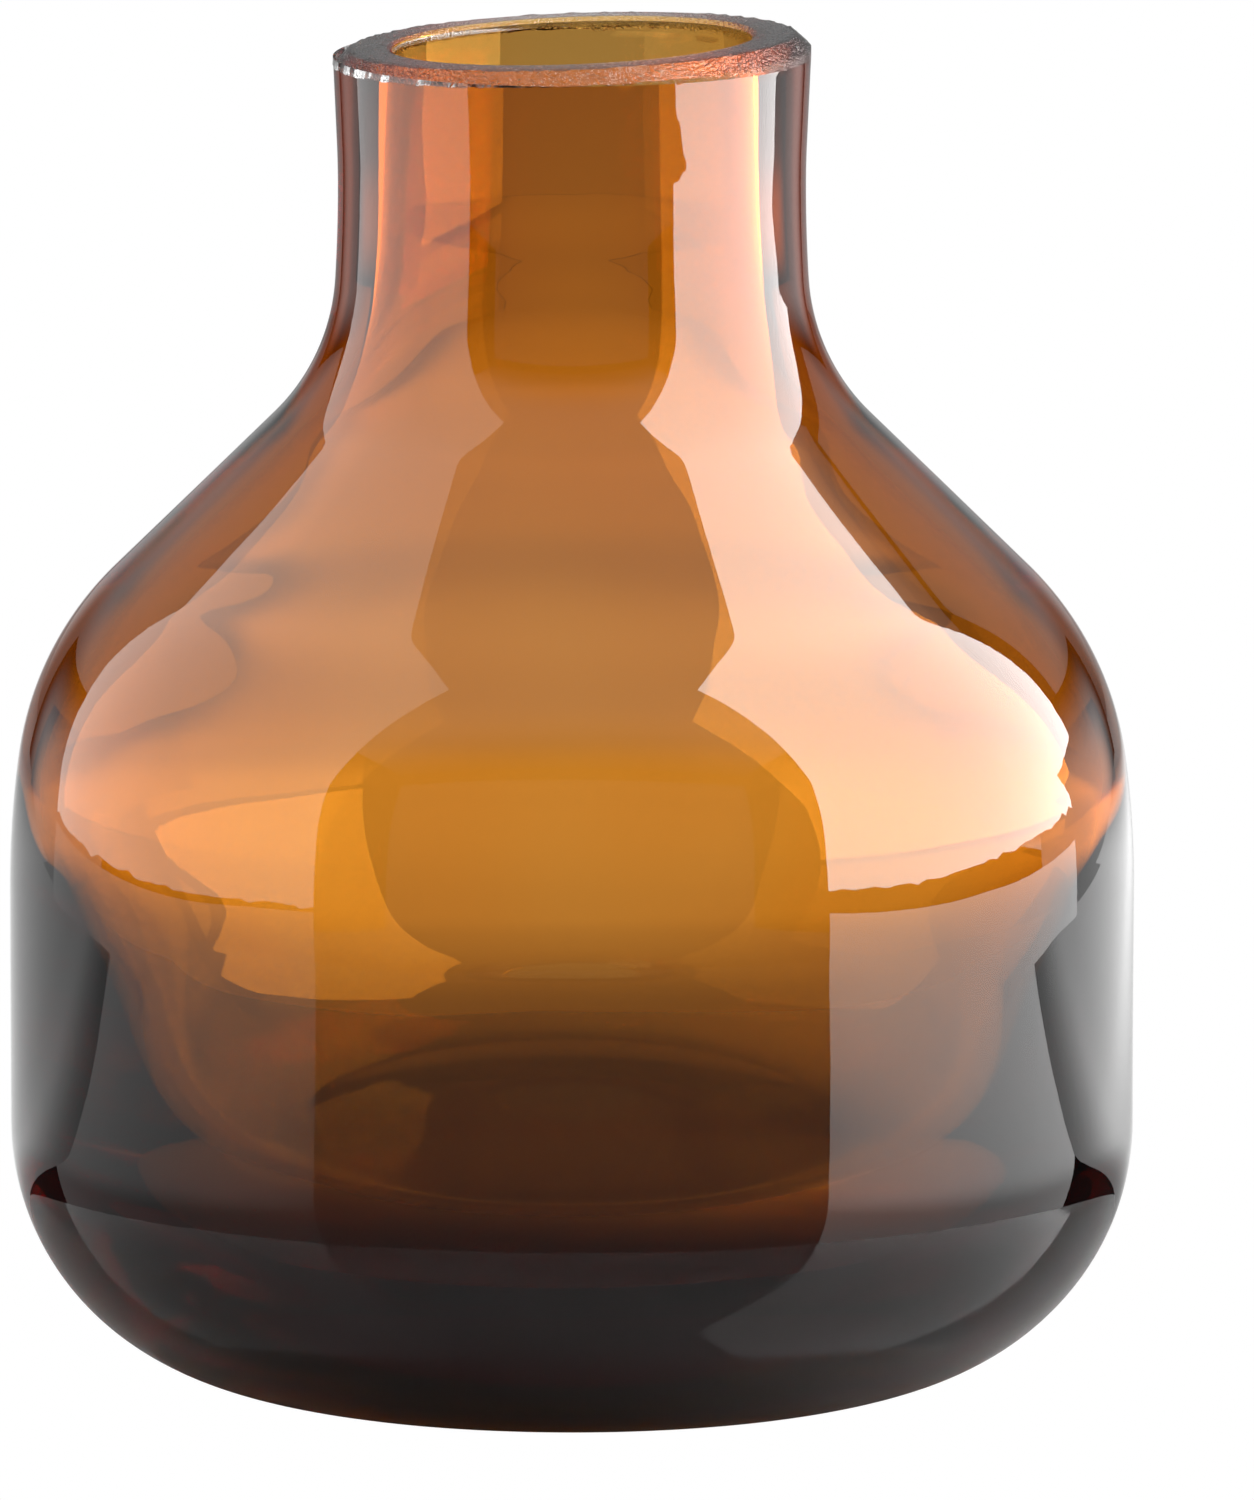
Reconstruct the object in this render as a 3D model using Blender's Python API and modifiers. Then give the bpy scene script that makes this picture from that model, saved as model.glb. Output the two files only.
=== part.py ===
"""Glass bud vase, hand blown: an amber glass bubble cased in thick smoke grey glass.

Two gathers of glass make the vase, so two solids do here. smoke_casing is the outer gather,
with the heavy base, the shoulders and most of the neck. amber_liner is the thin coloured
bubble inside it, which holds the water. Both are turned about the upright axis. The rim is
cut by hand, slightly out of level, and its outer edge is ground to a chamfer.

Metres, +Z up, the foot on Z = 0 and the axis of the vase on X = Y = 0.
"""
import math

import bpy

# ---- Overall sizes ----
HEIGHT = 0.1325              # foot to the highest point of the slanted rim
BODY_RADIUS = 0.0550         # the upright wall of the body
FOOT_ROUND = 0.0252          # radius that rolls the wall under to the flat foot

# ---- Neck and shoulder of the casing, from the rim down ----
RIM_SLANT = math.radians(2.2)    # the cut leans down towards -X
RIM_CHAMFER = 0.0014         # ground edge, outside
BORE_CHAMFER = 0.0005        # ground edge, inside
WAIST_RADIUS = 0.0228        # narrowest place on the neck
RIM_FLARE = 0.0005           # how much wider than the waist the rim is
RIM_RADIUS = WAIST_RADIUS + RIM_FLARE    # the neck just below the ground rim
WAIST_DROP = 0.0150          # from the rim down to the waist
NECK_HOLLOW = 0.150          # radius of the gentle hollow below the waist
NECK_END = math.radians(3.5)     # lean of the surface where the neck turns into the flare
FLARE_ROUND = 0.0210         # radius of the flare below the neck
SHOULDER_LEAN = math.radians(45.6)   # lean of the sloping shoulder
SHOULDER_ROUND = 0.0310      # radius that turns the shoulder down
SHOULDER_END = math.radians(8.0)     # lean where the shoulder eases into the wall
WALL_EASE = 0.0920           # radius of that last easy bend

# ---- Wall thickness, both glasses together, and the shape of the bubble inside ----
NECK_WALL = 0.0042           # at the foot of the bore
BORE_LEAN = math.radians(2.6)    # the bore narrows upwards by this much
SHOULDER_WALL = 0.0034       # square through the sloping shoulder
BODY_WALL = 0.0028           # where the bubble is widest
FLOOR_WALL = 0.0158          # the heavy base, from the table to the water floor
BUBBLE_SHOULDER = 0.0270     # radius that turns the bubble's shoulder down
BUBBLE_TUCK = math.radians(13.0)     # how far that radius runs on past upright
BUBBLE_SIDE = 0.300          # radius of the long side that narrows towards the floor
FLOOR_ROUND = 0.0180         # radius between that side and the flat floor

# ---- The amber layer and clearances ----
LINER_WALL = 0.0012          # amber glass, everywhere
GLASS_GAP = 0.0003           # keeps the two solids apart
RIM_MARGIN = 0.0004          # level glass kept under the lowest point of the slanted rim

# ---- Mesh fineness ----
TURNS = 48                   # steps round the axis
ARC_STEP = math.radians(7.5)     # longest step along an arc


def bend(start, radius, lean_from, lean_to):
    """Points of an arc below start; lean is the surface normal's angle above level."""
    hollow = 1.0 if lean_to > lean_from else -1.0
    steps = max(2, math.ceil(abs(lean_to - lean_from) / ARC_STEP))
    points = []
    for step in range(1, steps + 1):
        lean = lean_from + (lean_to - lean_from) * step / steps
        out = hollow * radius * (math.cos(lean_from) - math.cos(lean))
        down = hollow * radius * (math.sin(lean) - math.sin(lean_from))
        points.append((start[0] + out, start[1] - down))
    return points


def slope(start, length, lean):
    """The end of a straight run below start."""
    return [(start[0] + length * math.sin(lean), start[1] - length * math.cos(lean))]


def bend_out(radius, lean_from, lean_to):
    """How far out an arc goes, or in where it is negative."""
    return bend((0.0, 0.0), radius, lean_from, lean_to)[-1][0]


def casing_top():
    """The casing's outside, from just under the slanted rim down to the end of the flare."""
    rise = WAIST_DROP - RIM_CHAMFER - rim_fall(-RIM_RADIUS) - RIM_MARGIN
    narrowing = RIM_RADIUS - WAIST_RADIUS
    bow = (rise ** 2 + narrowing ** 2) / (2.0 * narrowing)
    path = [(RIM_RADIUS, HEIGHT - WAIST_DROP + rise)]
    path += bend(path[-1], bow, -math.asin(rise / bow), 0.0)
    path += bend(path[-1], NECK_HOLLOW, 0.0, NECK_END)
    path += bend(path[-1], FLARE_ROUND, NECK_END, SHOULDER_LEAN)
    return path


def casing_outside():
    """The whole outside, down to the middle of the foot."""
    path = casing_top()
    round_out = bend_out(SHOULDER_ROUND, SHOULDER_LEAN, SHOULDER_END)
    ease_out = bend_out(WALL_EASE, SHOULDER_END, 0.0)
    left = BODY_RADIUS - path[-1][0] - round_out - ease_out
    path += slope(path[-1], left / math.sin(SHOULDER_LEAN), SHOULDER_LEAN)
    path += bend(path[-1], SHOULDER_ROUND, SHOULDER_LEAN, SHOULDER_END)
    path += bend(path[-1], WALL_EASE, SHOULDER_END, 0.0)
    path += [(BODY_RADIUS, FOOT_ROUND)]
    path += bend(path[-1], FOOT_ROUND, 0.0, -math.pi / 2)
    path += [(0.0, 0.0)]
    return path


def bubble(thickness):
    """The bubble's surface from the neck down to its floor, grown outwards by thickness."""
    neck = WAIST_RADIUS - NECK_WALL + thickness
    flare = FLARE_ROUND + SHOULDER_WALL - thickness
    shoulder = BUBBLE_SHOULDER + thickness
    side = BUBBLE_SIDE + thickness
    corner = FLOOR_ROUND + thickness
    depth = SHOULDER_WALL - thickness
    outer = casing_top()[-1]
    inner = (outer[0] - depth * math.cos(SHOULDER_LEAN),
             outer[1] - depth * math.sin(SHOULDER_LEAN))
    flare_end = neck + bend_out(flare, BORE_LEAN, SHOULDER_LEAN)
    run_end = BODY_RADIUS - BODY_WALL + thickness
    run_end -= bend_out(shoulder, SHOULDER_LEAN, 0.0)
    flare_height = inner[1] - (flare_end - inner[0]) / math.tan(SHOULDER_LEAN)
    rise = flare * (math.sin(SHOULDER_LEAN) - math.sin(BORE_LEAN))
    path = [(neck, flare_height + rise)]
    path += bend(path[-1], flare, BORE_LEAN, SHOULDER_LEAN)
    path += slope(path[-1], (run_end - flare_end) / math.sin(SHOULDER_LEAN), SHOULDER_LEAN)
    path += bend(path[-1], shoulder, SHOULDER_LEAN, -BUBBLE_TUCK)
    drop = path[-1][1] - (FLOOR_WALL - thickness)
    end_sine = (drop - corner + side * math.sin(BUBBLE_TUCK)) / (side - corner)
    side_end = math.asin(end_sine)
    path += bend(path[-1], side, -BUBBLE_TUCK, -side_end)
    path += bend(path[-1], corner, -side_end, -math.pi / 2)
    path += [(0.0, path[-1][1])]
    return path


def bore_radius(thickness):
    """The bore at the rim, grown outwards by thickness."""
    foot = bubble(thickness)[0]
    return foot[0] - (HEIGHT - foot[1]) * math.tan(BORE_LEAN)


def rim_fall(x):
    """How far the slanted cut lies below the highest point of the rim at this x."""
    return math.tan(RIM_SLANT) * (RIM_RADIUS - x)


def glass(name, colour, roughness):
    """A plain glass colour for one node."""
    made = bpy.data.materials.new(name)
    made.use_nodes = True
    shader = made.node_tree.nodes["Principled BSDF"]
    shader.inputs["Base Color"].default_value = (*colour, 1.0)
    shader.inputs["Roughness"].default_value = roughness
    shader.inputs["Metallic"].default_value = 0.0
    return made


def turned(name, inside, rim, outside, look, group):
    """Turn one solid about Z: up its inside, across the slanted rim, down its outside."""
    profile = list(reversed(inside)) + rim + outside
    edges = [(i, i + 1) for i in range(len(profile) - 1)]
    wire = bpy.data.meshes.new(name + "_profile")
    wire.from_pydata([(r, 0.0, z) for r, z in profile], edges, [])
    solid = bpy.data.objects.new(name, wire)
    group.objects.link(solid)
    screw = solid.modifiers.new("turn", "SCREW")
    screw.steps = TURNS
    screw.render_steps = TURNS
    screw.use_merge_vertices = True
    screw.merge_threshold = 0.00005
    bpy.context.view_layer.update()
    seen = bpy.context.evaluated_depsgraph_get()
    mesh = bpy.data.meshes.new_from_object(solid.evaluated_get(seen))
    solid.modifiers.clear()
    solid.data = mesh
    bpy.data.meshes.remove(wire)
    mesh.name = name
    rim_low = min(z for r, z in rim)
    for vertex in mesh.vertices:
        if vertex.co.z > rim_low - RIM_MARGIN / 4:
            vertex.co.z -= rim_fall(vertex.co.x)
    mesh.materials.clear()
    mesh.materials.append(look)
    mesh.shade_smooth()
    mesh.set_sharp_from_angle(angle=math.radians(30.0))
    return solid


def main():
    for old in list(bpy.data.objects):
        bpy.data.objects.remove(old, do_unlink=True)
    group = bpy.data.collections.new("glass_bud_vase")
    bpy.context.scene.collection.children.link(group)
    smoke = glass("smoke_glass", (0.045, 0.045, 0.05), 0.05)
    amber = glass("amber_glass", (0.42, 0.16, 0.035), 0.05)

    bore = bore_radius(0.0)
    casing_rim = [(bore_radius(LINER_WALL + GLASS_GAP), HEIGHT),
                  (RIM_RADIUS - RIM_CHAMFER, HEIGHT),
                  (RIM_RADIUS, HEIGHT - RIM_CHAMFER)]
    turned("smoke_casing", bubble(LINER_WALL + GLASS_GAP), casing_rim,
           casing_outside(), smoke, group)

    liner_rim = [(bore, HEIGHT - BORE_CHAMFER),
                 (bore + BORE_CHAMFER, HEIGHT),
                 (bore_radius(LINER_WALL), HEIGHT)]
    turned("amber_liner", bubble(0.0), liner_rim, bubble(LINER_WALL), amber, group)


main()
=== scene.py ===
# %% Glass bud vase
import math

import bmesh
import bpy
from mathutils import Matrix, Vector, noise


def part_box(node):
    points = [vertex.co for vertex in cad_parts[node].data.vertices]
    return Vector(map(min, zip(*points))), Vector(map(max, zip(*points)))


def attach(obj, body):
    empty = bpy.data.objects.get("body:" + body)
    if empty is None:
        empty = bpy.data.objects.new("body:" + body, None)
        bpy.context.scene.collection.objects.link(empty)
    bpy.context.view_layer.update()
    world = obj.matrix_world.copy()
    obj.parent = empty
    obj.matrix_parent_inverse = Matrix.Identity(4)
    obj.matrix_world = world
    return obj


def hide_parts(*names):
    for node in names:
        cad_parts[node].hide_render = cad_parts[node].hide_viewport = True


# %% [markdown]
# # A cased glass bud vase
# The vase is blown from two gathers of glass. An amber bubble comes first, and a thick layer of
# smoke grey glass is gathered over it, so that the wall reads amber and the heavy base reads
# charcoal. The fixed frame holds both solids. Here each gets a fine mesh, real glass that bends
# and absorbs light, and stands among the soft panels that glass needs to show its form.

# %% Load the fixed frame
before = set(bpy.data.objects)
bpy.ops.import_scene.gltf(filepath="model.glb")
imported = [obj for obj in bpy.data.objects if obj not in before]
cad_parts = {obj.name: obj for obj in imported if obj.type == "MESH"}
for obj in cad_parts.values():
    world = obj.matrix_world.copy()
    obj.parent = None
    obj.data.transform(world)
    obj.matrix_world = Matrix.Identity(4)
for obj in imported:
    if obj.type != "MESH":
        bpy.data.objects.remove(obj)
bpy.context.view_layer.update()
casing_low, casing_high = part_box("smoke_casing")
liner_low, liner_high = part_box("amber_liner")
height = casing_high[2]
body_radius = (casing_high[0] - casing_low[0]) / 2
liner_radius = (liner_high[0] - liner_low[0]) / 2
print("height", round(height, 4), "body radius", round(body_radius, 4))
print("liner radius", round(liner_radius, 4), "liner lowest", round(liner_low[2], 4))

# %% [markdown]
# ## The outline
# A blown vase has no corners but its rim, so its outline is a chain of arcs that meet without a
# break. Leaning is how far the surface tips up from level: 0 is an upright wall, 45 degrees is a
# sloping shoulder, minus 90 the underside. Drawing every arc by its lean keeps each one tangent
# to the next, which matters on glass: a break in the curve would show as a broken reflection.

# %% Arcs by their lean
STEP = 0.0009                # longest stretch of outline between two points, in metres


def arc(start, radius, lean_from, lean_to):
    """Points below start on an arc; a hollow arc where the lean grows, a full one where it falls."""
    hollow = 1.0 if lean_to > lean_from else -1.0
    count = max(2, math.ceil(radius * abs(lean_to - lean_from) / STEP))
    points = []
    for i in range(1, count + 1):
        lean = lean_from + (lean_to - lean_from) * i / count
        out = hollow * radius * (math.cos(lean_from) - math.cos(lean))
        down = hollow * radius * (math.sin(lean) - math.sin(lean_from))
        points.append((start[0] + out, start[1] - down))
    return points


def straight(start, end):
    """Points on a straight run from start to end."""
    count = max(1, math.ceil(math.dist(start, end) / STEP))
    points = []
    for i in range(1, count + 1):
        share = i / count
        points.append((start[0] + (end[0] - start[0]) * share,
                       start[1] + (end[1] - start[1]) * share))
    return points


def arc_out(radius, lean_from, lean_to):
    """How far out an arc goes."""
    return arc((0.0, 0.0), radius, lean_from, lean_to)[-1][0]


# %% [markdown]
# The outside runs from the ground rim down a slightly hollow neck, out through the flare, down
# the sloping shoulder and the upright wall, and under to a flat foot. The sizes are the frame's.

# %% The outside of the vase
RIM_RADIUS = 0.0233          # the neck just below the ground rim
RIM_SLANT = math.radians(2.2)        # the cut leans down towards -X
RIM_CHAMFER = 0.0014         # ground edge, outside
WAIST_RADIUS = 0.0228        # narrowest place on the neck
WAIST_DROP = 0.0150          # from the rim down to the waist
WAIST_ROUND = 0.085          # radius of the bend at the waist
LIP_LEAN = math.radians(2.7)         # how far the neck opens above the waist
NECK_HOLLOW = 0.150          # radius of the gentle hollow below the waist
NECK_END = math.radians(3.5)         # lean where the neck turns into the flare
FLARE_ROUND = 0.0210         # radius of the flare below the neck
SHOULDER_LEAN = math.radians(45.6)   # lean of the sloping shoulder
SHOULDER_ROUND = 0.0310      # radius that turns the shoulder down
SHOULDER_END = math.radians(8.0)     # lean where the shoulder eases into the wall
WALL_EASE = 0.0920           # radius of that last easy bend
FOOT_ROUND = 0.0252          # radius that rolls the wall under to the flat foot
TOP = height + math.tan(RIM_SLANT) * RIM_CHAMFER     # where the unslanted rim would be level


def rim_fall(x):
    """How far the slanted cut lies below its highest point at this x."""
    return math.tan(RIM_SLANT) * (RIM_RADIUS - x)


def outside_top():
    """The outside from just under the chamfer down to the end of the flare."""
    waist = TOP - WAIST_DROP
    narrowing = RIM_RADIUS - WAIST_RADIUS - WAIST_ROUND * (1.0 - math.cos(LIP_LEAN))
    cone_foot = waist + WAIST_ROUND * math.sin(LIP_LEAN)
    path = [(RIM_RADIUS, cone_foot + narrowing / math.tan(LIP_LEAN))]
    path += straight(path[-1], (RIM_RADIUS - narrowing, cone_foot))
    path += arc(path[-1], WAIST_ROUND, -LIP_LEAN, 0.0)
    path += arc(path[-1], NECK_HOLLOW, 0.0, NECK_END)
    path += arc(path[-1], FLARE_ROUND, NECK_END, SHOULDER_LEAN)
    return path


def outside():
    """The whole outside, down to the edge of the flat foot."""
    path = outside_top()
    rounds = arc_out(SHOULDER_ROUND, SHOULDER_LEAN, SHOULDER_END)
    rounds += arc_out(WALL_EASE, SHOULDER_END, 0.0)
    left = body_radius - rounds - path[-1][0]
    cone_end = (path[-1][0] + left, path[-1][1] - left / math.tan(SHOULDER_LEAN))
    path += straight(path[-1], cone_end)
    path += arc(path[-1], SHOULDER_ROUND, SHOULDER_LEAN, SHOULDER_END)
    path += arc(path[-1], WALL_EASE, SHOULDER_END, 0.0)
    path += straight(path[-1], (body_radius, FOOT_ROUND))
    path += arc(path[-1], FOOT_ROUND, 0.0, -math.pi / 2)
    return path


print("outside points", len(outside()))

# %% [markdown]
# ## The bubble
# The bubble inside follows the outside through the neck and shoulder with an even wall, then
# narrows towards a flat floor that stands well above the table. That narrowing matters more than
# anything else here. Light that meets the leaning side of the bubble from within the glass is
# turned down into the base, which is why the lower corners of the real vase look black while the
# middle glows. Arcs that meet without a break still change their curve at once, and glass shows
# that as a line, so the finished outline is eased: each point becomes the mean of its neighbours.

# %% The inside of the vase
NECK_WALL = 0.0042           # both glasses together, at the foot of the bore
BORE_LEAN = math.radians(2.6)        # the bore narrows upwards by this much
SHOULDER_WALL = 0.0034       # square through the sloping shoulder
BODY_WALL = 0.0028           # where the bubble is widest
LINER_WALL = 0.0012          # the amber alone
BUBBLE_SHOULDER = 0.0270     # radius that turns the bubble's shoulder down
BUBBLE_TUCK = math.radians(13.0)     # how far that radius runs on past upright
BUBBLE_SIDE = 0.300          # radius of the long side that narrows towards the floor
FLOOR_ROUND = 0.0180         # radius between that side and the flat floor
FLOOR_WALL = liner_low[2] + LINER_WALL       # from the table to the water floor
EASE_REACH = 6               # outline points on either side that share a bend


def bubble():
    """The bubble's surface from the rim to the edge of its floor."""
    neck = WAIST_RADIUS - NECK_WALL
    flare = FLARE_ROUND + SHOULDER_WALL
    outer = outside_top()[-1]
    inner = (outer[0] - SHOULDER_WALL * math.cos(SHOULDER_LEAN),
             outer[1] - SHOULDER_WALL * math.sin(SHOULDER_LEAN))
    flare_end = neck + arc_out(flare, BORE_LEAN, SHOULDER_LEAN)
    cone_end = body_radius - BODY_WALL - arc_out(BUBBLE_SHOULDER, SHOULDER_LEAN, 0.0)
    flare_height = inner[1] - (flare_end - inner[0]) / math.tan(SHOULDER_LEAN)
    cone_height = inner[1] - (cone_end - inner[0]) / math.tan(SHOULDER_LEAN)
    rise = flare * (math.sin(SHOULDER_LEAN) - math.sin(BORE_LEAN))
    bore = neck - (TOP - flare_height - rise) * math.tan(BORE_LEAN)
    path = [(bore, TOP)]
    path += straight(path[-1], (neck, flare_height + rise))
    path += arc(path[-1], flare, BORE_LEAN, SHOULDER_LEAN)
    path += straight(path[-1], (cone_end, cone_height))
    path += arc(path[-1], BUBBLE_SHOULDER, SHOULDER_LEAN, -BUBBLE_TUCK)
    drop = path[-1][1] - FLOOR_WALL
    end_sine = ((drop - FLOOR_ROUND + BUBBLE_SIDE * math.sin(BUBBLE_TUCK))
                / (BUBBLE_SIDE - FLOOR_ROUND))
    side_end = math.asin(end_sine)
    path += arc(path[-1], BUBBLE_SIDE, -BUBBLE_TUCK, -side_end)
    path += arc(path[-1], FLOOR_ROUND, -side_end, -math.pi / 2)
    return path


def eased(path):
    """The same outline with each bend begun more gently, as blown glass does."""
    last = len(path) - 1
    smooth = []
    for i in range(last + 1):
        reach = min(EASE_REACH, i, last - i)
        near = path[i - reach:i + reach + 1]
        smooth.append((sum(r for r, z in near) / len(near), sum(z for r, z in near) / len(near)))
    return smooth


def grown(path, depth_at):
    """The outline moved into the glass, square to itself, by its depth at each height."""
    moved = []
    for i, (r, z) in enumerate(path):
        depth = depth_at(z)
        before = path[max(i - 1, 0)]
        after = path[min(i + 1, len(path) - 1)]
        run = math.dist(before, after)
        moved.append((r + depth * (before[1] - after[1]) / run,
                      z + depth * (after[0] - before[0]) / run))
    return moved


bubble_path = eased(eased(bubble()))
bore = bubble_path[0][0]
print("bore", round(bore, 4), "bubble widest", round(max(r for r, z in bubble_path), 4))

# %% [markdown]
# ## Turning an outline into a mesh
# Both pieces are spun in code and not with a modifier, because blown glass is never quite true.
# Each point can be moved a hair while it is placed, and the fine mesh keeps that movement. The rings
# are numbered along the outline, so the rim can be slanted, ground and chipped without touching the
# rest.

# %% Spin an outline
TURNS = 256                  # points round the vase
SHARP = math.radians(28.0)   # a bend sharper than this shows as an edge


def spin(name, outline, place):
    """A closed mesh of rings; place(point, ring number) moves each point. Its ends are shut."""
    mesh = bpy.data.meshes.new(name)
    shape = bmesh.new()
    rings = []
    for number, (r, z) in enumerate(outline):
        ring = []
        for turn in range(TURNS):
            angle = math.tau * turn / TURNS
            at = Vector((r * math.cos(angle), r * math.sin(angle), z))
            ring.append(shape.verts.new(place(at, number)))
        rings.append(ring)
    for above, below in zip(rings, rings[1:]):
        for turn in range(TURNS):
            after = (turn + 1) % TURNS
            shape.faces.new((above[turn], above[after], below[after], below[turn]))
    for ring in (rings[0], rings[-1]):
        middle = shape.verts.new(sum((v.co for v in ring), Vector()) / TURNS)
        for turn in range(TURNS):
            shape.faces.new((ring[turn], ring[(turn + 1) % TURNS], middle))
    bmesh.ops.recalc_face_normals(shape, faces=shape.faces)
    shape.to_mesh(mesh)
    shape.free()
    mesh.shade_smooth()
    mesh.set_sharp_from_angle(angle=SHARP)
    piece = bpy.data.objects.new(name, mesh)
    bpy.context.scene.collection.objects.link(piece)
    print(name, "faces", len(mesh.polygons))
    return piece


# %% [markdown]
# ## The smoke casing
# The outer gather of glass. Its surface was fire polished, so it is smooth to the hand, but it
# swells and sinks by a few hundredths of a millimetre over a finger's width, and that is what
# makes the edges of a reflection wander. The bubble's surface is less true than the outside,
# because no tool touched it. The rim was sawn off and ground flat, then its sharp outer edge was
# ground away by hand, which left it full of tiny chips.

# %% Swells, slant and chips
SWELL = 0.00005              # deepest swell on the outside
BUBBLE_SWELL = 0.00012       # deepest swell on the bubble
SWELL_SIZE = 0.016           # width of a swell
SWELL_TALL = 1.6             # a swell is this much longer up and down
CHIP = 0.00016               # deepest chip in the ground edge
CHIP_SIZE = 0.0011           # width of a chip
CHIP_DROP_SIZE = 0.0008      # width of the finer unevenness in its height
BORE_ROUND = 0.0005          # ground edge inside the mouth
BUBBLE_SEED = 3.0            # each surface has noise of its own
OUTSIDE_SEED = 9.0
CHIP_SEED = 1.0
CHIP_DROP_SEED = 5.0


def swell(at, size, seed):
    """Smooth noise from 0 to 1 over the vase, longer up and down than across."""
    spot = Vector((at.x / size, at.y / size, at.z / (size * SWELL_TALL) + seed))
    return min(max(0.5 + noise.noise(spot), 0.0), 1.0)


def inward(at, depth):
    """Move a point towards the axis."""
    r = math.hypot(at.x, at.y)
    if r < 1e-6:
        return at
    keep = (r - depth) / r
    return Vector((at.x * keep, at.y * keep, at.z))


inside_path = list(reversed([(r, z) for r, z in bubble_path if z < TOP - BORE_ROUND]))
rim_path = [(bore, TOP - 0.8 * BORE_ROUND), (bore + 0.4 * BORE_ROUND, TOP - 0.4 * BORE_ROUND),
            (bore + BORE_ROUND, TOP)]
rim_path += straight(rim_path[-1], (RIM_RADIUS - RIM_CHAMFER, TOP))
edge_path = [(RIM_RADIUS - RIM_CHAMFER * (1 - share), TOP - RIM_CHAMFER * share)
             for share in (0.2, 0.4, 0.6, 0.8, 1.0)]
casing_path = inside_path + rim_path + edge_path + outside()
chipped = range(len(inside_path) + len(rim_path) - 1,
                len(inside_path) + len(rim_path) + len(edge_path))
cut_height = TOP - RIM_CHAMFER - 1e-6        # all from here up leans with the cut


def place_casing(at, ring):
    """The casing's points: swells on both sides, the slanted cut and the chips on its edge."""
    moved = at
    if ring < len(inside_path):
        moved = inward(at, BUBBLE_SWELL * swell(at, SWELL_SIZE, BUBBLE_SEED))
    elif ring >= chipped.stop:
        moved = inward(at, SWELL * swell(at, SWELL_SIZE, OUTSIDE_SEED))
    if ring in chipped:
        bite = swell(at, CHIP_SIZE, CHIP_SEED) ** 2
        moved = inward(at, CHIP * bite)
        moved.z -= CHIP * swell(at, CHIP_DROP_SIZE, CHIP_DROP_SEED)
    if at.z >= cut_height:
        moved.z -= rim_fall(at.x)
    return moved


casing = spin("smoke_casing_glass", casing_path, place_casing)

# %% [markdown]
# ## The amber liner
# The inner gather is the colour of the vase. It is fused to the smoke glass, with no air between
# them, so light crosses from one to the other without bending. To get that, the casing is meshed
# right through to the bubble, as the one body of glass that it is, and the liner is a closed
# skin just under the bubble's surface, whose own surface doesn't bend light at all. Only its
# colour shows. The colour of the real one is deeper in the neck, where the gather was drawn out
# least, so the liner is a little thicker there.

# %% Place the liner under the bubble's surface
UNDER = 0.00003              # how far the liner lies under the surface
LINER_NECK = 0.0015          # the amber is gathered thicker in the neck
NECK_FROM = 0.086            # height where it begins to thicken
NECK_FULL = 0.110            # height where it has its full thickness


def amber_depth(z):
    """Thickness of the amber at this height."""
    share = min(max((z - NECK_FROM) / (NECK_FULL - NECK_FROM), 0.0), 1.0)
    return LINER_WALL + (LINER_NECK - LINER_WALL) * share


def place_liner(at, ring):
    """The liner's inner side follows the swells of the bubble, its outer side is even."""
    moved = at.copy()
    if ring < len(liner_inside):
        moved = inward(at, BUBBLE_SWELL * swell(at, SWELL_SIZE, BUBBLE_SEED))
    if at.z >= cut_height:
        moved.z -= rim_fall(at.x)
    return moved


liner_inside = list(reversed([(r, z) for r, z in grown(bubble_path, lambda z: UNDER)
                              if z < TOP - BORE_ROUND]))
liner_rim = [(bore + BORE_ROUND, TOP - 3 * UNDER), (bore + LINER_NECK, TOP - 3 * UNDER)]
liner_outside = [(r, z) for r, z in grown(bubble_path, amber_depth) if z < TOP - BORE_ROUND]
liner = spin("amber_liner_glass", liner_inside + liner_rim + liner_outside, place_liner)

# %% [markdown]
# ## Glass
# Colours are picked on screen as hex and turned to linear light by one function. Glass gets its
# colour from its depth, so each glass says how much of each colour it takes from the light on
# every millimetre. Grey soda glass takes a little of everything, amber takes most of the blue.

# %% Helpers for materials
CLEAR = "#ffffff"            # glass takes its colour from its depth, not from its skin


def linear(code):
    """A screen colour such as '#c07c3c' as linear light."""
    values = [int(code[i:i + 2], 16) / 255 for i in (1, 3, 5)]
    return [v / 12.92 if v <= 0.04045 else ((v + 0.055) / 1.055) ** 2.4 for v in values]


def add(tree, kind, links=(), **settings):
    """Add a node; settings name its inputs or properties, links say what feeds an input."""
    node = tree.nodes.new(kind)
    for key, value in settings.items():
        words = key.replace("_", " ")
        if words in node.inputs:
            node.inputs[words].default_value = value
        else:
            setattr(node, key, value)
    for name, source in links:
        tree.links.new(source, node.inputs[name])
    return node


def new_material(name):
    """An empty material and its tree."""
    made = bpy.data.materials.new(name)
    made.use_nodes = True
    made.node_tree.nodes.clear()
    return made, made.node_tree


print("clear glass in linear light", linear(CLEAR))

# %% [markdown]
# The smoke casing is soda glass, fire polished: an index of 1.5 and no roughness at all. Where
# the rim was ground it is frosted, so a mark on the points of the ground rings brings in
# roughness and a fine sparkle there. Very soft, wide bumps stand for the ripple of hand-blown
# glass that is too shallow for the mesh.

# %% Smoke glass
GLASS_INDEX = 1.5
SMOKE_PER_M = (41.0, 42.0, 41.0)     # taken from red, green and blue on each metre
GRAINS_PER_M = 2600.0        # grit of 0.4 mm; the real 0.1 mm is too fine to show
GRIT_FROST = 0.42            # roughness of ground glass
GRIT_DEPTH = 0.0004
GRIT_STRENGTH = 0.8
RIPPLES_PER_M = 70.0         # a ripple is 14 mm wide
RIPPLE_DEPTH = 0.0005
RIPPLE_STRENGTH = 0.05


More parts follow.
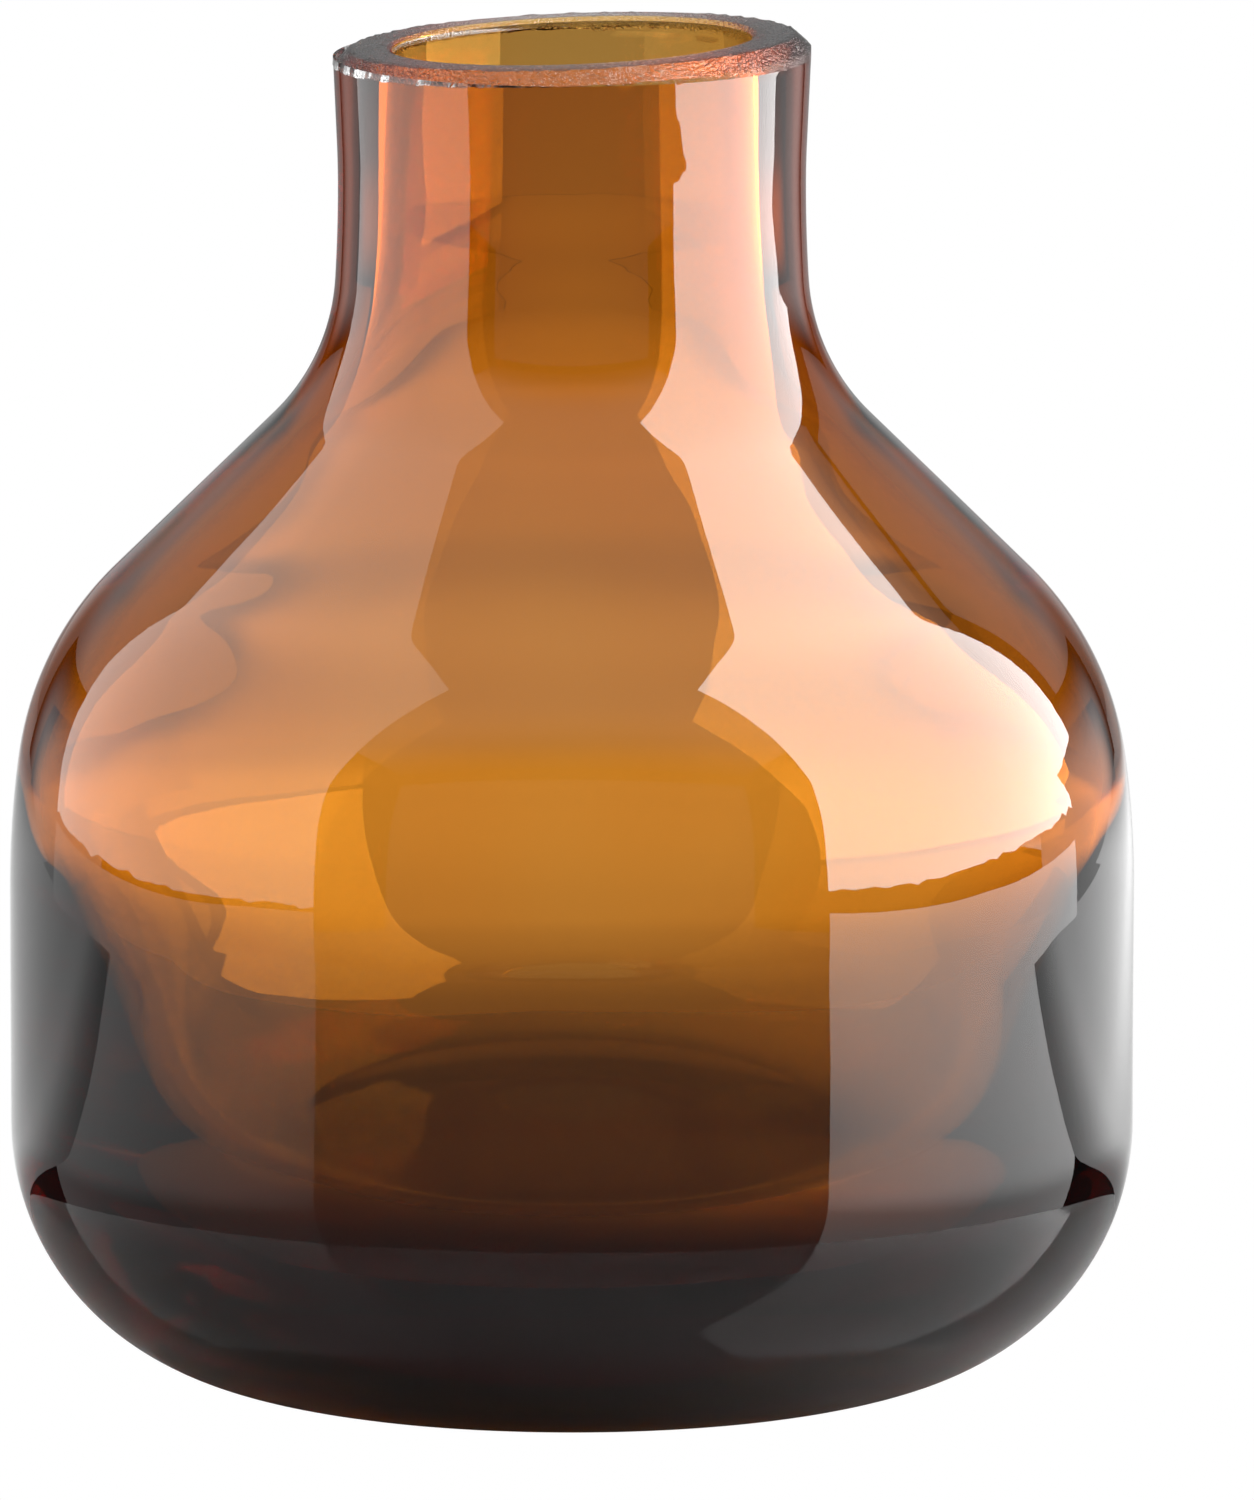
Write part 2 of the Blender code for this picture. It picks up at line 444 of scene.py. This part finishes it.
def depth_colour(tree, taken):
    """A volume that takes this much of each colour on every metre."""
    most = max(taken)
    left = [1.0 - share / most for share in taken]
    return add(tree, "ShaderNodeVolumeAbsorption", Density=most, Color=(*left, 1.0))


def make_smoke_glass():
    """Fire-polished smoke glass, ground and frosted at the rim."""
    made, tree = new_material("smoke soda glass, fire polished")
    place = add(tree, "ShaderNodeTexCoord").outputs["Object"]
    ground = add(tree, "ShaderNodeAttribute", attribute_name="ground").outputs["Fac"]
    grain = add(tree, "ShaderNodeTexNoise", [("Vector", place)], Scale=GRAINS_PER_M, Detail=3.0)
    frost = add(tree, "ShaderNodeMapRange", [("Value", ground)], To_Min=0.0, To_Max=GRIT_FROST)
    rough = add(tree, "ShaderNodeMath", [(0, grain.outputs["Fac"]), (1, frost.outputs[0])],
                operation="MULTIPLY")
    ripple = add(tree, "ShaderNodeTexNoise", [("Vector", place)], Scale=RIPPLES_PER_M, Detail=1.0)
    sparkle = add(tree, "ShaderNodeMath", [(0, grain.outputs["Fac"]), (1, ground)],
                  operation="MULTIPLY")
    wide = add(tree, "ShaderNodeBump", [("Height", ripple.outputs["Fac"])],
               Strength=RIPPLE_STRENGTH, Distance=RIPPLE_DEPTH)
    fine = add(tree, "ShaderNodeBump",
               [("Height", sparkle.outputs[0]), ("Normal", wide.outputs[0])],
               Strength=GRIT_STRENGTH, Distance=GRIT_DEPTH)
    glass = add(tree, "ShaderNodeBsdfPrincipled",
                [("Roughness", rough.outputs[0]), ("Normal", fine.outputs[0])],
                IOR=GLASS_INDEX, Transmission_Weight=1.0, Base_Color=(*linear(CLEAR), 1.0))
    volume = depth_colour(tree, SMOKE_PER_M)
    add(tree, "ShaderNodeOutputMaterial",
        [("Surface", glass.outputs[0]), ("Volume", volume.outputs[0])])
    return made


print("smoke glass takes", SMOKE_PER_M, "per metre")

# %% [markdown]
# The amber liner is the same soda glass, coloured. It is buried in the casing, so its index
# against its neighbour is 1 and its surface neither bends nor mirrors.

# %% Amber glass
AMBER_PER_M = (30.0, 440.0, 1450.0)
BURIED_INDEX = 1.0           # against the glass round it
GROUND_RINGS = 8             # rings on the flat of the rim that are marked as ground


def make_amber_glass():
    """Amber glass fused into the casing: colour by depth and no surface of its own."""
    made, tree = new_material("amber soda glass, cased")
    skin = add(tree, "ShaderNodeBsdfPrincipled", IOR=BURIED_INDEX, Roughness=0.0,
               Transmission_Weight=1.0, Base_Color=(*linear(CLEAR), 1.0))
    volume = depth_colour(tree, AMBER_PER_M)
    add(tree, "ShaderNodeOutputMaterial",
        [("Surface", skin.outputs[0]), ("Volume", volume.outputs[0])])
    return made


def mark_ground(piece, rings):
    """A number per point: 1 on the ground rings, 0 on polished glass."""
    marks = piece.data.attributes.new("ground", "FLOAT", "POINT")
    for ring in rings:
        for turn in range(TURNS):
            marks.data[ring * TURNS + turn].value = 1.0


mark_ground(casing, range(len(inside_path) + len(rim_path) - GROUND_RINGS, chipped.stop))
casing.data.materials.append(make_smoke_glass())
liner.data.materials.append(make_amber_glass())
for piece, node, slot in ((casing, "smoke_casing", "smoke_glass"),
                          (liner, "amber_liner", "amber_glass")):
    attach(piece, "root")
    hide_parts(node)
    print(piece.name, "is", piece.data.materials[0].name)

# %% [markdown]
# ## The stage
# Glass has little look of its own: it shows what stands round it. So the stage is shaped for what
# the glass should show. The camera itself doesn't see it, which keeps the surround white. The light
# comes from wide surfaces that glow, because a lamp would show in the glass as a hard point. A fade
# makes a surface glow less towards one side, as cloth does away from its lamp; on the paper, the
# wall and the cards, which are no lamps, the glow and its fades are painted light and shade.

# %% Helpers for the stage
STAGE_LEVEL = -0.0002        # a hair under the foot


def flat(name, corners, material):
    """A flat stage surface through its corners, which only the glass sees."""
    mesh = bpy.data.meshes.new(name)
    mesh.from_pydata(corners, [], [tuple(range(len(corners)))])
    mesh.materials.append(material)
    surface = bpy.data.objects.new(name, mesh)
    bpy.context.scene.collection.objects.link(surface)
    surface.visible_camera = False
    return surface


def level(x_from, x_to, y_from, y_to, z):
    """The corners of a level rectangle."""
    return [(x_from, y_from, z), (x_to, y_from, z), (x_to, y_to, z), (x_from, y_to, z)]


def facing(x_from, x_to, y, z_from, z_to):
    """The corners of an upright rectangle that faces the front."""
    return [(x_from, y, z_from), (x_to, y, z_from), (x_to, y, z_to), (x_from, y, z_to)]


def sideways(x, y_from, y_to, z_from, z_to):
    """The corners of an upright rectangle that faces the side."""
    return [(x, y_from, z_from), (x, y_to, z_from), (x, y_to, z_to), (x, y_from, z_to)]


def rising(axis, span):
    """A fade from nothing to all over a span of this axis."""
    return (axis, *span, 0.0, 1.0)


def falling(axis, span):
    """A fade from all to nothing over a span of this axis."""
    return (axis, *span, 1.0, 0.0)


def faded(tree, split, strength, fades):
    """A strength times its fades (axis, start, end, share at start, share at end)."""
    part = None
    for axis, start, end, share_from, share_to in fades:
        fade = add(tree, "ShaderNodeMapRange", [("Value", split.outputs[axis])],
                   interpolation_type="SMOOTHSTEP", From_Min=start, From_Max=end,
                   To_Min=share_from, To_Max=share_to)
        both = add(tree, "ShaderNodeMath", [(0, fade.outputs[0])], operation="MULTIPLY")
        both.inputs[1].default_value = strength
        if part:
            tree.links.new(part, both.inputs[1])
        part = both.outputs[0]
    return part


def shining(name, *parts):
    """White light: the sum of its parts, each a strength and its fades."""
    made, tree = new_material(name)
    light = add(tree, "ShaderNodeEmission", Strength=parts[0][0])
    place = add(tree, "ShaderNodeNewGeometry").outputs["Position"]
    split = add(tree, "ShaderNodeSeparateXYZ", [("Vector", place)])
    total = None
    for strength, fades in parts:
        part = faded(tree, split, strength, fades)
        if total and part:
            part = add(tree, "ShaderNodeMath", [(0, total), (1, part)], operation="ADD").outputs[0]
        total = part
    if total:
        tree.links.new(total, light.inputs["Strength"])
    add(tree, "ShaderNodeOutputMaterial", [("Surface", light.outputs[0])])
    return made


def painted(name, code, roughness, gloss):
    """A plain painted surface."""
    made, tree = new_material(name)
    paint = add(tree, "ShaderNodeBsdfPrincipled", Roughness=roughness,
                Specular_IOR_Level=gloss, Base_Color=(*linear(code), 1.0))
    add(tree, "ShaderNodeOutputMaterial", [("Surface", paint.outputs[0])])
    return made


print("stage level", STAGE_LEVEL)

# %% [markdown]
# ## Plinth and paper
# The vase stands on a small plinth of grey gloss acrylic. It gives off no light, so the glass that
# looks down on it, the base and the lower corners, reads nearly black. White paper begins behind the
# plinth and runs far back, and the middle of the body glows with it. The paper's light is painted:
# it glows in nine fields, left, middle and right at three distances, that melt into each other. Its
# near edge has painted shade, so that it doesn't show in the base as a line.

# %% Plinth and paper
PLINTH_RADIUS = 0.10
PLINTH_POINTS = 96
PLINTH_CODE = "#7c7c7c"
PLINTH_ROUGH = 0.08
PLINTH_GLOSS = 0.5           # plain acrylic
PAPER_START = 0.060          # the paper's near edge, behind the vase's axis
PAPER_BREAK = 0.30           # it widens here, once it is past the panels
PAPER_END = 1.5
PAPER_HALF = 0.33            # half its width between the panels
PAPER_WIDE = 1.6             # half its width behind them
PAPER_SHADE = 0.4            # share of light left at the near edge
PAPER_CLEAR = 0.120          # where the near edge's shade ends
PAPER_NEAR = (0.9, 0.95, 2.2)        # left, middle, right
PAPER_MID = (0.8, 0.9, 2.1)
PAPER_FAR = (0.3, 0.7, 0.4)
PAPER_BACK = 0.7             # share of light left at the far end
NEAR_TO_MID = (0.10, 0.15)   # where one row of fields melts into the next
MID_TO_FAR = (0.30, 0.55)
LEFT_TO_MIDDLE = (-0.16, -0.08)      # and one column into the next
MIDDLE_TO_RIGHT = (0.08, 0.16)

plinth_edge = []
for i in range(PLINTH_POINTS):
    turn = math.tau * i / PLINTH_POINTS
    plinth_edge.append((PLINTH_RADIUS * math.sin(turn),
                        min(PLINTH_RADIUS * math.cos(turn), PAPER_START), STAGE_LEVEL))
flat("plinth", plinth_edge, painted("grey gloss acrylic", PLINTH_CODE, PLINTH_ROUGH, PLINTH_GLOSS))
# The paper's painted light, field by field; the near row fades to painted shade at the paper's near
# edge.
rows = ((PAPER_NEAR, [falling("Y", NEAR_TO_MID),
                      ("Y", PAPER_START, PAPER_CLEAR, PAPER_SHADE, 1.0)]),
        (PAPER_MID, [rising("Y", NEAR_TO_MID), falling("Y", MID_TO_FAR)]),
        (PAPER_FAR, [rising("Y", MID_TO_FAR),
                     ("Y", MID_TO_FAR[1], PAPER_END, 1.0, PAPER_BACK)]))
columns = ([falling("X", LEFT_TO_MIDDLE)],
           [rising("X", LEFT_TO_MIDDLE), falling("X", MIDDLE_TO_RIGHT)],
           [rising("X", MIDDLE_TO_RIGHT)])
fields = [(strength, row + column)
          for strengths, row in rows for strength, column in zip(strengths, columns)]
painted_paper_light = shining("lit paper", *fields)
flat("paper", level(-PAPER_HALF, PAPER_HALF, PAPER_START, PAPER_BREAK, STAGE_LEVEL), painted_paper_light)
flat("paper", level(-PAPER_WIDE, PAPER_WIDE, PAPER_BREAK, PAPER_END, STAGE_LEVEL), painted_paper_light)
print("paper fields", len(fields))

# %% [markdown]
# ## Wall
# The paper turns up into a wall, which glows with painted light. Its middle is the light that comes
# straight through the neck and the upper body, its sides have painted shade, which darkens the glass
# towards the outline.

# %% Wall
WALL_TOP = 1.6
WALL_LOW = 0.45              # light low down in the middle
WALL_SIDE = 0.12             # light low down at the sides
WALL_HIGH = 0.45             # light higher up
WALL_LEFT = (-0.6, -0.3)     # where the side melts into the middle
WALL_RIGHT = (0.3, 0.6)
WALL_RISE = (0.2, 0.5)       # where low melts into high

# The wall's glow is painted light, with painted shade at its sides low down.
flat("wall", facing(-PAPER_WIDE, PAPER_WIDE, PAPER_END, 0.0, WALL_TOP),
     shining("lit paper wall",
             (WALL_LOW, [rising("X", WALL_LEFT), falling("X", WALL_RIGHT),
                         falling("Z", WALL_RISE)]),
             (WALL_SIDE, [falling("X", WALL_LEFT), falling("Z", WALL_RISE)]),
             (WALL_SIDE, [rising("X", WALL_RIGHT), falling("Z", WALL_RISE)]),
             (WALL_HIGH, [rising("Z", WALL_RISE)])))
print("wall top", WALL_TOP)

# %% [markdown]
# ## Ceiling and front
# A soft ceiling lies overhead and lights the shoulders and the ground rim. The room in front is
# dim, so that the middle of the vase keeps its colour under the reflection of it.

# %% Ceiling and front
CEILING_AT = 1.7
CEILING_FRONT = -2.5
CEILING_FULL = (-1.0, 0.9)   # it has its full light between these
CEILING_BACK = 1.5
CEILING_HALF = 2.0           # half its width
CEILING_LIGHT = 0.95
CEILING_DIM = 0.1            # share of light left at its front edge
CEILING_REAR = 0.4           # share of light left at its back edge
FRONT_AT = -2.6
FRONT_TOP = 1.5
FRONT_LEVEL = -0.20          # the room's floor, lower than the table
FRONT_LIGHT = 0.22

flat("ceiling", level(-CEILING_HALF, CEILING_HALF, CEILING_FRONT, CEILING_BACK, CEILING_AT),
     shining("ceiling light",
             (CEILING_LIGHT, [("Y", CEILING_FRONT, CEILING_FULL[0], CEILING_DIM, 1.0),
                              ("Y", CEILING_FULL[1], CEILING_BACK, 1.0, CEILING_REAR)])))
front_light = shining("dim room", (FRONT_LIGHT, ()))
flat("front floor", level(-CEILING_HALF, CEILING_HALF, FRONT_AT, -PLINTH_RADIUS, FRONT_LEVEL),
     front_light)
flat("front wall", facing(-CEILING_HALF, CEILING_HALF, FRONT_AT, FRONT_LEVEL, FRONT_TOP),
     front_light)
print("ceiling at", CEILING_AT, "front wall at", FRONT_AT)

# %% [markdown]
# ## Strips
# Behind the two panels stands a low strip of light on each side. Without them the upper outline
# of the body would see a black gap between the panel and the paper.

# %% Strips
STRIP_AT = 0.36              # out from the axis
STRIP_DEEP = (0.10, 0.70)    # from front to back
STRIP_HIGH = (-0.01, 0.16)   # from foot to top
STRIP_TOP_FADE = (0.06, 0.16)
STRIP_BACK_FADE = (0.40, 0.70)
STRIP_LIGHT = (0.6, 1.0)     # left, right

for side, strength in zip((-1.0, 1.0), STRIP_LIGHT):
    flat("strip", sideways(side * STRIP_AT, *STRIP_DEEP, *STRIP_HIGH),
         shining("strip light", (strength, [falling("Z", STRIP_TOP_FADE),
                                            falling("Y", STRIP_BACK_FADE)])))
print("strips", STRIP_LIGHT)

# %% [markdown]
# ## Panels and cards
# A tall soft panel stands close on either side, the right one much the brighter. They give the long
# reflections that bend with the neck and the shoulder. Their cloth is frayed at the back and the
# foot, and that is what makes a reflection's edge ragged where it crosses the neck. Below each panel
# hangs a dimmer card, whose glow is painted light, fading to painted shade towards its foot; it
# lights the upright wall of the base softly.

# %% Panels and cards
PANEL_AT = 0.30              # out from the axis
RIGHT_PANEL = [(-0.25, 0.047), (-0.25, 0.20), (-0.36, 0.78), (0.17, 0.78), (0.17, 0.35),
               (0.20, 0.10), (0.13, 0.075), (0.16, 0.045)]     # corners: back, up
LEFT_PANEL = [(-0.25, 0.035), (-0.25, 0.20), (-0.36, 0.78), (0.22, 0.78), (0.26, 0.30),
              (0.21, 0.035)]
EVEN_CORNERS = 4             # the first corners have even edges between them
FRAY = 0.003                 # how far the cloth frays
FRAY_PER_M = 90.0            # a frayed tongue is 11 mm wide
FRAY_FINER = 3.7             # a second, finer fraying
FRAY_POINTS = 40             # points on each frayed edge
RIGHT_LIGHT = 8.5
RIGHT_CARD = 3.5
LEFT_LIGHT = 2.4
LEFT_CARD = 0.9
CARD_HIGH = (-0.20, 0.031)   # from foot to top
CARD_FADE = (-0.06, 0.0)
CARD_LEFT_OVER = 0.35        # share of light left below its fade


def fray(along, up, seed):
    """How far a torn edge stands in or out at this place."""
    spot = Vector((along * FRAY_PER_M, up * FRAY_PER_M, seed))
    return FRAY * (noise.noise(spot) + 0.5 * noise.noise(spot * FRAY_FINER))


def panel(side, corners, strength):
    """A tall panel of diffusing cloth: even front and top, frayed back and foot."""
    outline = corners[:EVEN_CORNERS]
    for start, end in zip(corners[EVEN_CORNERS - 1:], corners[EVEN_CORNERS:] + corners[:1]):
        for i in range(1, FRAY_POINTS + 1):
            y = start[0] + (end[0] - start[0]) * i / FRAY_POINTS
            z = start[1] + (end[1] - start[1]) * i / FRAY_POINTS
            outline.append((y + fray(y, z, side), z + fray(y, z, side + 7.0)))
    outline.pop()
    return flat("panel", [(side * PANEL_AT, y, z) for y, z in outline],
                shining("panel light", (strength, ())))


for side, corners, strength, card_light in ((1.0, RIGHT_PANEL, RIGHT_LIGHT, RIGHT_CARD),
                                            (-1.0, LEFT_PANEL, LEFT_LIGHT, LEFT_CARD)):
    panel(side, corners, strength)
    # Each card glows with painted light, with painted shade below its fade.
    flat("card", sideways(side * PANEL_AT, corners[0][0], corners[-1][0], *CARD_HIGH),
         shining("card light", (card_light, [("Z", *CARD_FADE, CARD_LEFT_OVER, 1.0)])))
    print("panel", side, "light", strength, "card light", card_light)

# %% [markdown]
# The camera looks past the stage into white. Every other ray that leaves the stage finds a dim
# room, so the white doesn't flatten the glass.

# %% The room
ROOM_LIGHT = 0.02            # what the glass sees past the stage
SURROUND_LIGHT = 1.0         # what the camera sees past the vase

room = bpy.data.worlds.new("room")
bpy.context.scene.world = room
room.use_nodes = True
tree = room.node_tree
tree.nodes.clear()
seen = add(tree, "ShaderNodeLightPath")
dim = add(tree, "ShaderNodeBackground", Strength=ROOM_LIGHT, Color=(*linear(CLEAR), 1.0))
white = add(tree, "ShaderNodeBackground", Strength=SURROUND_LIGHT, Color=(*linear(CLEAR), 1.0))
either = add(tree, "ShaderNodeMixShader", [("Fac", seen.outputs["Is Camera Ray"])])
tree.links.new(dim.outputs[0], either.inputs[1])
tree.links.new(white.outputs[0], either.inputs[2])
add(tree, "ShaderNodeOutputWorld", [("Surface", either.outputs[0])])
print("room light", ROOM_LIGHT)

# %% [markdown]
# ## Camera
# A long lens from about two metres, a little above the rim, so that the mouth shows as a thin
# ellipse and the foot as a rounder one.

# %% Camera
CAMERA_DISTANCE = 2.1
RIM_VIEW = math.radians(7.3)         # how far the camera looks down on the rim
VIEW_HEIGHT = 0.1466                 # height of the picture at the vase
AIM = 0.0617                         # height on the vase's axis at the middle of the picture
SENSOR_HEIGHT = 24.0                 # millimetres
SIDE_SHIFT = 0.0367                  # the vase stands a little left of the middle
FAR_END = 50.0                       # nothing stands farther away than this

camera_data = bpy.data.cameras.new("camera")
camera = bpy.data.objects.new("camera", camera_data)
bpy.context.scene.collection.objects.link(camera)
bpy.context.scene.camera = camera
camera_height = height + CAMERA_DISTANCE * math.tan(RIM_VIEW)
pitch = math.atan((camera_height - AIM) / CAMERA_DISTANCE)
camera.location = (0.0, -CAMERA_DISTANCE, camera_height)
camera.rotation_euler = (math.pi / 2 - pitch, 0.0, 0.0)
camera_data.sensor_fit = "VERTICAL"
camera_data.sensor_height = SENSOR_HEIGHT
reach = math.hypot(CAMERA_DISTANCE, camera_height - height / 2)
camera_data.lens = SENSOR_HEIGHT * reach / VIEW_HEIGHT
camera_data.shift_x = SIDE_SHIFT
camera_data.clip_end = FAR_END
print("camera height", round(camera_height, 3), "lens", round(camera_data.lens, 1))

# %% [markdown]
# Light crosses four walls of glass, and often bounces inside them, before it reaches the eye, so
# the paths are allowed to be long. Plain screen colour keeps the white white.

# %% Light paths and tone
GLASS_BOUNCES = 32

paths = bpy.context.scene.cycles
paths.max_bounces = GLASS_BOUNCES
paths.transmission_bounces = GLASS_BOUNCES
paths.glossy_bounces = 16
paths.diffuse_bounces = 4
paths.sample_clamp_indirect = 0.0
bpy.context.scene.view_settings.view_transform = "Standard"
print("glass bounces", GLASS_BOUNCES)
